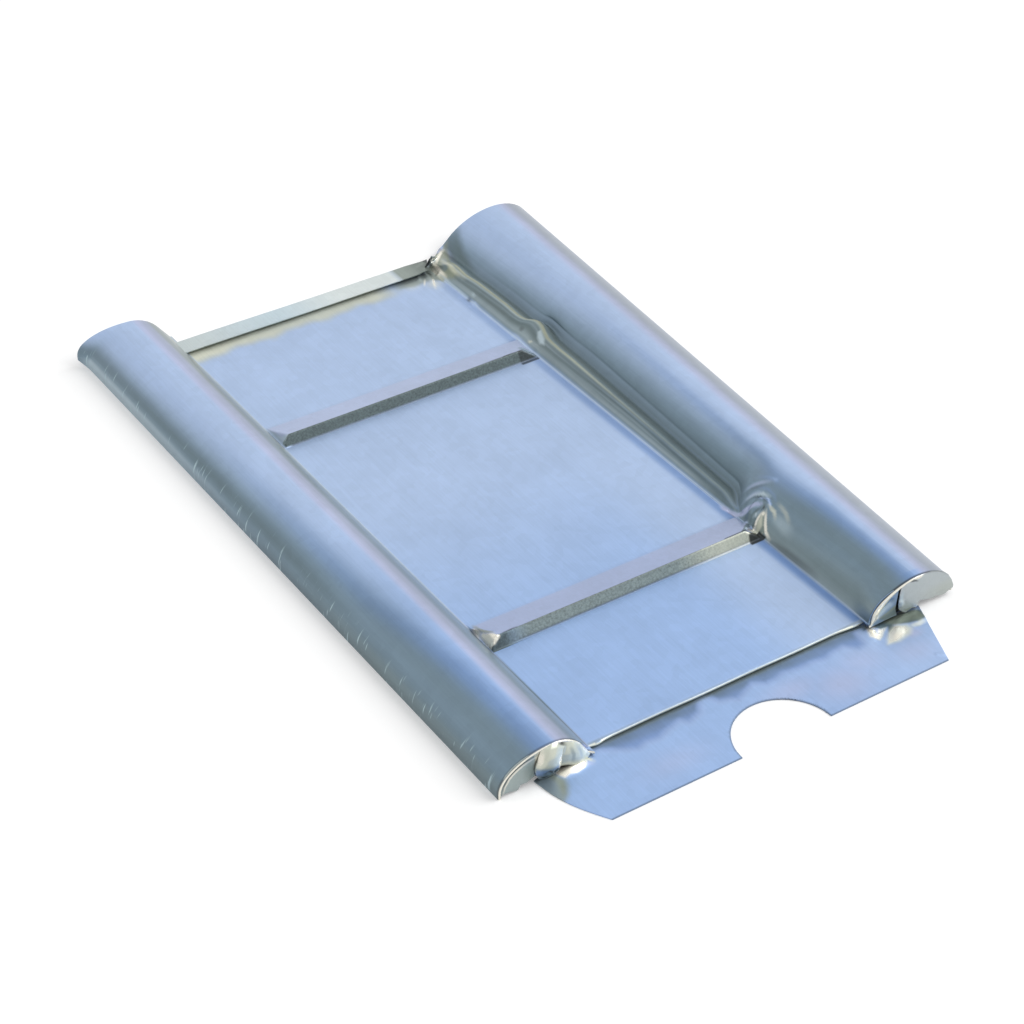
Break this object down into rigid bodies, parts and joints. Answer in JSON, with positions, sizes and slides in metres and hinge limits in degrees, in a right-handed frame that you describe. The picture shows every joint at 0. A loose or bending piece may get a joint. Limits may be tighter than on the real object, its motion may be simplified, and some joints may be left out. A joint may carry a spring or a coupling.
{
  "type": "metal roof tile sheet",
  "caption": "Pressed galvanised steel roof tile with a flat pan, cross ridges, side rolls that nest with the next tile, a folded hem and a notched apron.",
  "frame": {"origin": "centre of the bounding box in plan, at the level floor that the sheet lies on", "axes": "+X across the sheet towards the widening roll, +Y up the roof slope towards the folded head edge, +Z away from the roof"},
  "size_m": [0.312, 0.485, 0.022],
  "materials": {
    "galvanised_sheet": "satin"
  },
  "bodies": {
    "root": {"roof_sheet": "galvanised_sheet"}
  },
  "joints": []
}
